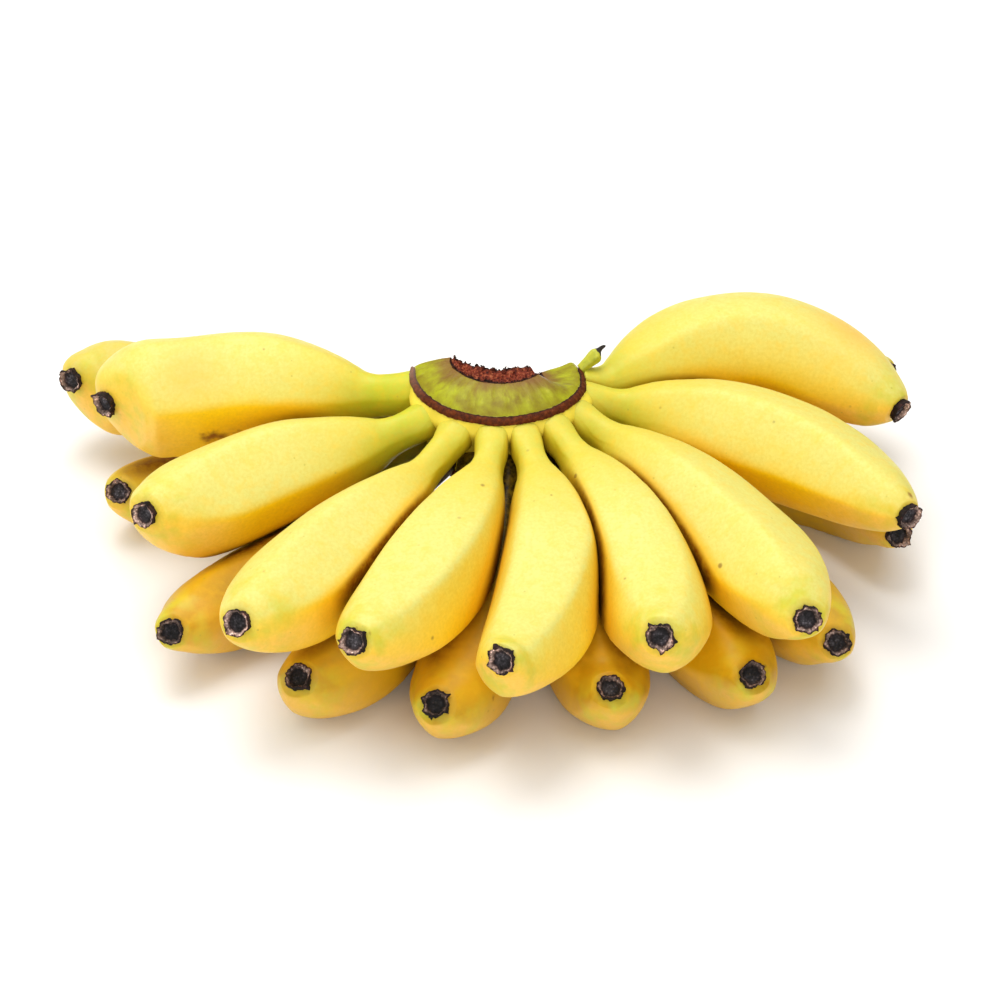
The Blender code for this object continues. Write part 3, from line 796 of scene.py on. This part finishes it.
bearings = np.linspace(CROWN_FROM, CROWN_TO, 260)
points, marks = [], []
for bearing in bearings:
    inner = CUT_RADIUS - 12 * MM * max(0.15, math.cos(math.radians(bearing) * 0.9))
    low = eased(past(*RIGHT_DIP, bearing)) * RIGHT_DIP_BY + past(*LEFT_DIP, -bearing) * LEFT_DIP_BY
    lifted = past(*FAR_RISE, abs(bearing)) * FAR_RISE_BY - past(*FAR_DROP, bearing) * FAR_DROP_BY
    flange = FLANGE + FLANGE_WAVE * math.sin(math.radians(bearing) * 11 + 1)
    flange += FLANGE_WIDENS_BY * past(*FLANGE_WIDENS, bearing)
    bowed = eased(past(BOW_FROM, CROWN_TO - BOW_FROM, bearing))
    foot = wall_at(WALL_FOOT)
    # radius and height in metres, then across: below 0 on the wall, 0 to 1 on the cushion, to 2 on the cut.
    profile = [
        (foot, WALL_FOOT, -1), (wall_at(56 * MM), 56 * MM, -0.6), (wall_at(62 * MM), 62 * MM, -0.4),
        (RING_RADIUS + flange, 66.5 * MM, -0.25), (RING_RADIUS + flange - 0.8 * MM, 69 * MM, -0.12),
        (RING_RADIUS - 0.2 * MM, RING_HEIGHT - 1.2 * MM, -0.05),
        (RING_RADIUS - 1.2 * MM, RING_HEIGHT + 0.5 * MM, 0),
        (RING_RADIUS - 3 * MM, RING_HEIGHT + 2.0 * MM, 0.12),
        (RING_RADIUS - 6 * MM, RING_HEIGHT + 3.9 * MM - 0.4 * low, 0.4),
        (CUT_RADIUS + 6 * MM, CUT_HEIGHT - 1.9 * MM - 0.65 * low, 0.6),
        (CUT_RADIUS + 3 * MM, CUT_HEIGHT - 0.75 * MM - 0.85 * low, 0.8),
        (CUT_RADIUS + 0.9 * MM, CUT_HEIGHT - 0.15 * MM - low, 0.96),
        (CUT_RADIUS + 0.3 * MM, CUT_HEIGHT - low, 1.0),
        (CUT_RADIUS - 0.3 * MM, CUT_HEIGHT - 0.4 * MM - low, 1.03),
        ((CUT_RADIUS + inner) / 2, CUT_HEIGHT - 1.9 * MM + (lifted - low) / 2, 1.5),
        (inner + 0.4 * MM, CUT_HEIGHT - 1.3 * MM + lifted, 1.95),
        (inner, CUT_HEIGHT - 2.2 * MM + lifted, 2.05),
        (inner + 0.5 * MM, 58 * MM, 2.5), (inner + 4 * MM, WALL_FOOT + 2 * MM, 3),
        (foot - 7 * MM, WALL_FOOT - 3 * MM, 3.5)]
    profile = np.array(profile)
    # Two rounds of corner cutting soften the corners, and then equal steps along it.
    for _ in range(2):
        after = np.roll(profile, -1, axis=0)
        after_mark = after.copy()
        after_mark[-1, 2] = 4
        cuts = [profile * near + after_mark * (1 - near) for near in (0.75, 0.25)]
        profile = np.stack(cuts, 1).reshape(-1, 3)
    run = np.concatenate([[0], np.cumsum(np.linalg.norm(np.diff(profile[:, :2], axis=0), axis=1))])
    fine = np.interp(np.linspace(-1, 2.2, 110), profile[:, 2], run)
    rest = np.linspace(fine[-1], run[-1], 22)[1:]
    at = np.concatenate([fine, rest])
    profile = np.stack([np.interp(at, run, profile[:, k]) for k in range(3)], 1)
    points.append([around_crown(bearing, r - bowed * BOW_IN, z - bowed * BOW_DOWN) for r, z, _ in profile])
    marks.append([(bearing, mark) for _, _, mark in profile])
points, marks = np.array(points), np.array(marks)
stations, ring_count = points.shape[:2]
faces = []
for i in range(stations - 1):
    for j in range(ring_count):
        k = (j + 1) % ring_count
        here, there = i * ring_count, (i + 1) * ring_count
        faces.append((here + j, there + j, there + k, here + k))
faces.append(list(range(ring_count)))
faces.append([(stations - 1) * ring_count + j for j in reversed(range(ring_count))])
flat_points, flat_marks = points.reshape(-1, 3), marks.reshape(-1, 2)
crown = mesh_piece("crown_rind", flat_points, faces, [rind, cut])


def face_outward(piece):
    """Turns all the piece's faces outward."""
    made = bmesh.new()
    made.from_mesh(piece.data)
    bmesh.ops.recalc_face_normals(made, faces=made.faces)
    made.to_mesh(piece.data)
    made.free()
    piece.data.update()


face_outward(crown)
normals = np.array([v.normal for v in crown.data.vertices])
# Relief: ribs along the strands on the rind, and a ragged, pitted face on the cut.
mark = flat_marks[:, 1]
on_cut = np.clip((mark - 0.99) / 0.04, 0, 1) * np.clip((2.1 - mark) / 0.1, 0, 1)
on_rind = np.clip(mark / 0.1, 0, 1) * np.clip((0.98 - mark) / 0.1, 0, 1)
push = np.zeros(len(mark))
for i, (spot, (bearing, m)) in enumerate(zip(flat_points, flat_marks)):
    if on_rind[i] > 0:
        push[i] += on_rind[i] * 0.35 * MM * noise.noise((bearing * 0.16, m * 1.2, 3.1))
        push[i] += on_rind[i] * 0.10 * MM * noise.noise((bearing * 0.6, m * 2.5, 7.7))
    if on_cut[i] > 0:
        push[i] += on_cut[i] * 0.8 * MM * noise.noise(Vector(spot) * 1000 / 2.0)
        push[i] += on_cut[i] * 0.5 * MM * noise.noise(Vector(spot) * 1000 / 0.8)
flat_points = flat_points + normals * push[:, None]
crown.data.vertices.foreach_set("co", flat_points.astype(np.float32).ravel())
write(crown.data, "around", flat_marks[:, 0])
write(crown.data, "across", mark)
write(crown.data, "rim", np.exp(-((mark - 1.05) / 0.1) ** 2) + np.exp(-((mark - 1.98) / 0.14) ** 2))
# Where the rind tore by the cut: bearing and across, and its half width in each.
TORN = ((60, 0.92), (8, 0.12))
torn = np.exp(-(((flat_marks - TORN[0]) / TORN[1]) ** 2).sum(1) ** 2)
write(crown.data, "torn", torn)
cut_face = [
    int(1.01 < mark[list(p.vertices)].mean() < 2.06 and len(p.vertices) == 4) for p in crown.data.polygons]
crown.data.polygons.foreach_set("material_index", cut_face)
crown.data.update()
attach(crown, "root")
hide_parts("crown")

# Torn ends of the stalk's strands stand up from the cut, most of all along its rims.
fibres, given = new_tree("torn_fibres", "Fibres", {
    "Face": "Geometry",
    "Density": 1.3e6,  # to the square metre
    "Seed": 7, "Length": 0.7 * MM, "Foot Radius": 0.32 * MM, "Tip Radius": 0.10 * MM, "Lean": 0.7,
    "Strand": "Material"})
g = fibres
edge = node(g, "GeometryNodeInputNamedAttribute", {"Name": "rim"}, data_type="FLOAT")
edge = calc(g, "MULTIPLY_ADD", edge, 0.8, 0.35)
density = calc(g, "MULTIPLY", edge, given["Density"])
feet = node(g, "GeometryNodeDistributePointsOnFaces", {
    "Mesh": given["Face"], "Density": density, "Seed": given["Seed"]}, distribute_method="RANDOM")
strand = node(g, "GeometryNodeMeshCone", {
    "Vertices": 5, "Side Segments": 2, "Fill Segments": 1, "Radius Top": given["Tip Radius"],
    "Radius Bottom": given["Foot Radius"], "Depth": given["Length"]}, fill_type="NGON")
lean_by = calc(g, "MULTIPLY", given["Lean"], -1)
lean = node(g, "ShaderNodeCombineXYZ", {"X": given["Lean"], "Y": given["Lean"], "Z": 3.0})
unlean = node(g, "ShaderNodeCombineXYZ", {"X": lean_by, "Y": lean_by, "Z": -3.0})
lean = node(g, "FunctionNodeRandomValue", {"Min": unlean, "Max": lean, "Seed": 3}, data_type="FLOAT_VECTOR")
stand = node(g, "FunctionNodeRotateRotation", {
    "Rotation": feet.outputs["Rotation"], "Rotate By": lean}, rotation_space="LOCAL")
size = node(g, "FunctionNodeRandomValue", {"Min": 0.4, "Max": 1.25, "Seed": 11}, data_type="FLOAT")
grown = node(g, "GeometryNodeInstanceOnPoints", {
    "Points": feet.outputs["Points"], "Instance": strand.outputs["Mesh"], "Rotation": stand, "Scale": size})
grown = node(g, "GeometryNodeRealizeInstances", {"Geometry": grown})
grown = node(g, "GeometryNodeSetMaterial", {"Geometry": grown, "Material": given["Strand"]})
node(g, "NodeGroupOutput", {"Fibres": grown})
face = bmesh.new()
face.from_mesh(crown.data)
bmesh.ops.delete(face, geom=[f for f in face.faces if f.material_index == 0], context="FACES")
cut_mesh = bpy.data.meshes.new("cut_face")
face.to_mesh(cut_mesh)
face.free()
strands = made_by(fibres, "cut_fibres", {"Strand": cut}, cut_mesh)
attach(strands, "root")

# The leaf's scar: a corky brown band all along the ring, where the leaf that covered this hand broke off.
bract, t, crust = new_material("leaf_scar_brown_cork")
place = node(t, "ShaderNodeTexCoord").outputs["Object"]
height, along = [
    node(t, "ShaderNodeAttribute", attribute_name=name).outputs["Fac"] for name in ("across", "around")]
grit = node(t, "ShaderNodeTexNoise", {"Vector": place, "Scale": 1000 / 1.4, "Detail": 5, "Roughness": 0.7})
worn = node(t, "ShaderNodeTexNoise", {"Vector": place, "Scale": 1000 / 7, "Detail": 2})
ramp = node(t, "ShaderNodeValToRGB", {"Fac": grit})
dye(ramp, ((0.25, "#240C04"), (0.45, "#4E2008"), (0.6, "#662C0A"), (0.78, "#8A5226")))
lip = remap(t, height, 0.6, 0.95, most=0.9)
shade = blend(t, lip, ramp, linear("#24100A"))
greyed = remap(t, along, -55, -90, most=0.55)
greyed = calc(t, "MULTIPLY", greyed, worn)
shade = blend(t, greyed, shade, linear("#B89A88"))
bump = node(t, "ShaderNodeBump", {"Strength": 0.7, "Distance": 0.5 * MM, "Height": grit})
feed(t, crust, {"Base Color": shade, "Roughness": 0.7, "Specular IOR Level": 0.15, "Normal": bump})

BAND_TO = CROWN_TO - 6
band, given = new_tree("leaf_scar_band", "Band", {
    "Centre": (CROWN_X, CROWN_Y, 0), "Radius": RING_RADIUS - 1.0 * MM, "Height": RING_HEIGHT + 0.1 * MM,
    "From": math.radians(CROWN_FROM), "To": math.radians(BAND_TO), "Width": 3.3 * MM, "Thickness": 1.7 * MM,
    "Tilt": math.radians(50), "Bow From": math.radians(BOW_FROM), "Bow To": math.radians(CROWN_TO),
    "Bow Down": BOW_DOWN, "Bow In": BOW_IN, "Raggedness": 0.5 * MM, "Cork": "Material"})
g = band
turn, rim, share = on_tube(g)
bearing = blend(g, share, given["To"], given["From"], data_type="FLOAT")
sine = calc(g, "SINE", bearing)
cosine = calc(g, "COSINE", bearing)
cosine = calc(g, "MULTIPLY", cosine, -1)
outward = node(g, "ShaderNodeCombineXYZ", {"X": sine, "Y": cosine})
# Thin ends, and edges that wander.
thin = calc(g, "PINGPONG", share, 0.5)
thin = remap(g, thin, 0, 0.03, 0.5)
u, v, tilt_cos, tilt_sin = [
    calc(g, kind, value)
    for value, kind in ((turn, "COSINE"), (turn, "SINE"), (given["Tilt"], "COSINE"), (given["Tilt"], "SINE"))]
level = u
for factor in (given["Width"], 0.5, thin):
    u = calc(g, "MULTIPLY", u, factor)
for factor in (given["Thickness"], 0.5):
    v = calc(g, "MULTIPLY", v, factor)
a = calc(g, "MULTIPLY", u, tilt_cos)
radial = calc(g, "MULTIPLY_ADD", v, tilt_sin, a)
b = calc(g, "MULTIPLY", v, tilt_cos)
c = calc(g, "MULTIPLY", u, tilt_sin)
rise = calc(g, "SUBTRACT", b, c)
radial = calc(g, "MULTIPLY", radial, rim)
rise = calc(g, "MULTIPLY", rise, rim)
bowed = soft_remap(g, bearing, given["Bow From"], given["Bow To"])
bow_in = calc(g, "MULTIPLY", bowed, given["Bow In"])
bow_down = calc(g, "MULTIPLY", bowed, given["Bow Down"])
radial = calc(g, "ADD", radial, given["Radius"])
radial = calc(g, "SUBTRACT", radial, bow_in)
rise = calc(g, "ADD", rise, given["Height"])
rise = calc(g, "SUBTRACT", rise, bow_down)
goal = node(g, "ShaderNodeVectorMath", {0: outward, "Scale": radial}, operation="SCALE")
goal = node(g, "ShaderNodeVectorMath", (goal, given["Centre"]), operation="ADD")
lift = node(g, "ShaderNodeCombineXYZ", {"Z": rise})
goal = node(g, "ShaderNodeVectorMath", (goal, lift), operation="ADD")
for size in (6, 1.6):
    rough = node(g, "ShaderNodeTexNoise", {"Vector": goal, "Scale": 1000 / size, "Detail": 2})
    rough = node(g, "ShaderNodeVectorMath", (rough.outputs["Color"], (0.5, 0.5, 0.5)), operation="SUBTRACT")
    rough = node(g, "ShaderNodeVectorMath", {0: rough, "Scale": given["Raggedness"]}, operation="SCALE")
    rough = node(g, "ShaderNodeVectorMath", {0: rough, "Scale": 1.6}, operation="SCALE")
    goal = node(g, "ShaderNodeVectorMath", (goal, rough), operation="ADD")
strip = tube(g, 22, 420)
degrees = calc(g, "MULTIPLY", bearing, 180 / math.pi)
inside = calc(g, "MULTIPLY", level, -1)
for name, value in (("around", degrees), ("across", inside)):
    strip = node(g, "GeometryNodeStoreNamedAttribute", {"Geometry": strip, "Name": name, "Value": value},
                 data_type="FLOAT", domain="POINT")
strip = node(g, "GeometryNodeSetPosition", {"Geometry": strip, "Position": goal})
strip = node(g, "GeometryNodeSetShadeSmooth", {"Geometry": strip})
strip = node(g, "GeometryNodeRealizeInstances", {"Geometry": strip})
strip = node(g, "GeometryNodeSetMaterial", {"Geometry": strip, "Material": given["Cork"]})
node(g, "NodeGroupOutput", {"Band": strip})
leaf_scar = made_by(band, "leaf_scar", {"Cork": bract})
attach(leaf_scar, "root")

# The undeveloped finger: a bud at the crown's right end that never filled, green, with a tip dried to black.
STUB_BEARING = 104
STUB_HEADING = 114
STUB_PITCH = 30
STUB_FOOT_RADIUS = 32.8 * MM
STUB_FOOT_HEIGHT = 71.4 * MM
STUB_LENGTH = 9 * MM
bud_skin, t, green_skin = new_material("unripe_bud_skin")
place = node(t, "ShaderNodeTexCoord").outputs["Object"]
dry = node(t, "ShaderNodeAttribute", attribute_name="dry").outputs["Fac"]
flecks = node(t, "ShaderNodeTexNoise", {"Vector": place, "Scale": 1000 / 1.8, "Detail": 4})
colour = blend(t, flecks, linear("#D2CB36"), linear("#8F9A1E"))
dry = calc(t, "MULTIPLY_ADD", flecks, 0.35, dry)
dry = remap(t, dry, 0.86, 0.96)
colour = blend(t, dry, colour, linear("#1E1712"))
rough = remap(t, dry, 0, 1, 0.45, 0.85)
bump = node(t, "ShaderNodeBump", {"Strength": 0.5, "Distance": 0.4 * MM, "Height": flecks})
feed(t, green_skin, {"Base Color": colour, "Roughness": rough, "Normal": bump})
foot = around_crown(STUB_BEARING, STUB_FOOT_RADIUS, STUB_FOOT_HEIGHT)
along = direction(STUB_HEADING, STUB_PITCH)
side = np.cross(along, [0, 0, 1])
side /= np.linalg.norm(side)
up = np.cross(side, along)
# share of the length, radius in mm, how far it bends up in mm, how dry
stretch = [
    (-0.35, 1.9, -0.6, 0), (-0.1, 2.0, -0.2, 0), (0.15, 2.3, 0, 0.1), (0.35, 2.65, 0.2, 0.2),
    (0.5, 2.7, 0.3, 0.35), (0.6, 2.3, 0.5, 0.6), (0.68, 1.5, 0.9, 0.85), (0.76, 0.95, 1.3, 1),
    (0.88, 0.7, 1.5, 1), (1.0, 0.55, 1.3, 1), (1.06, 0.2, 1.1, 1)]
fine = np.linspace(0, len(stretch) - 1, 56)
stretch = np.stack([np.interp(fine, range(len(stretch)), column) for column in zip(*stretch)], 1)
ends = [foot + along * STUB_LENGTH * share + up * rise * MM for share, _, rise, _ in stretch]
points, dryness, faces = [], [], []
SIDES = 32
for number, (middle, (share, radius, _, parched)) in enumerate(zip(ends, stretch)):
    for k in range(SIDES):
        a = 2 * math.pi * k / SIDES
        warts = noise.noise((3 * math.cos(a), 3 * math.sin(a), share * 9))
        ridged = 1 + 0.07 * math.cos(RIDGES * a) + 0.10 * parched * warts
        points.append(middle + (up * math.cos(a) + side * math.sin(a)) * radius * ridged * MM)
        dryness.append(parched)
        if number:
            a0, a1 = (number - 1) * SIDES + k, (number - 1) * SIDES + (k + 1) % SIDES
            faces.append((a0, a0 + SIDES, a1 + SIDES, a1))
faces.append(list(range(SIDES)))
faces.append([len(points) - 1 - k for k in range(SIDES)])
bud = mesh_piece("bud_undeveloped", points, faces, [bud_skin])
face_outward(bud)
write(bud.data, "dry", dryness)
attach(bud, "root")
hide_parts("undeveloped_finger")
